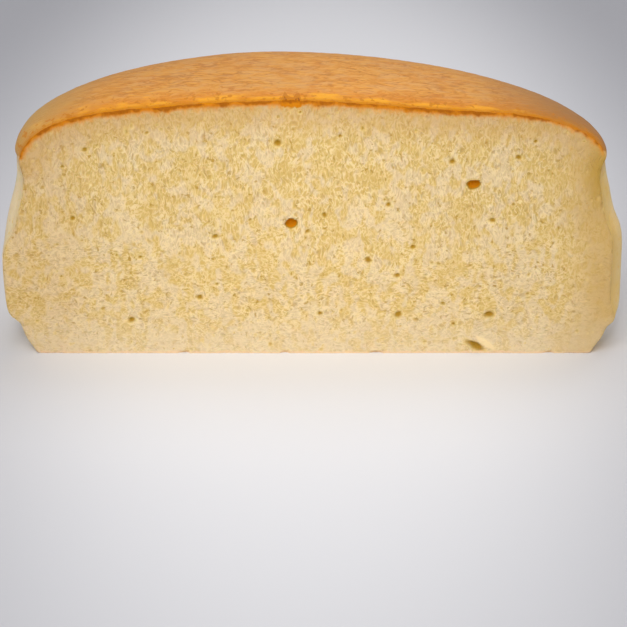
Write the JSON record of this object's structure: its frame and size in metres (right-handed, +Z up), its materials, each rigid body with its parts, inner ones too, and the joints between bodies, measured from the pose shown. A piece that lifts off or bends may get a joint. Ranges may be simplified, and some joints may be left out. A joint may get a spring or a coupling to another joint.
{
  "type": "japanese cheesecake half",
  "caption": "Half of a round Japanese souffle cheesecake, cut upright through the middle, with a domed browned crust, bellied side and open crumb.",
  "frame": {"origin": "middle of the outline, on the flat base", "axes": "+X along the cut, +Y from the cut face towards the round back, +Z up; the cut face looks along -Y"},
  "size_m": [0.1484, 0.0816, 0.0623],
  "materials": {
    "cake": "matt, open crumb with a satin browned crust"
  },
  "bodies": {
    "root": {"half_cake": "cake"}
  },
  "joints": []
}
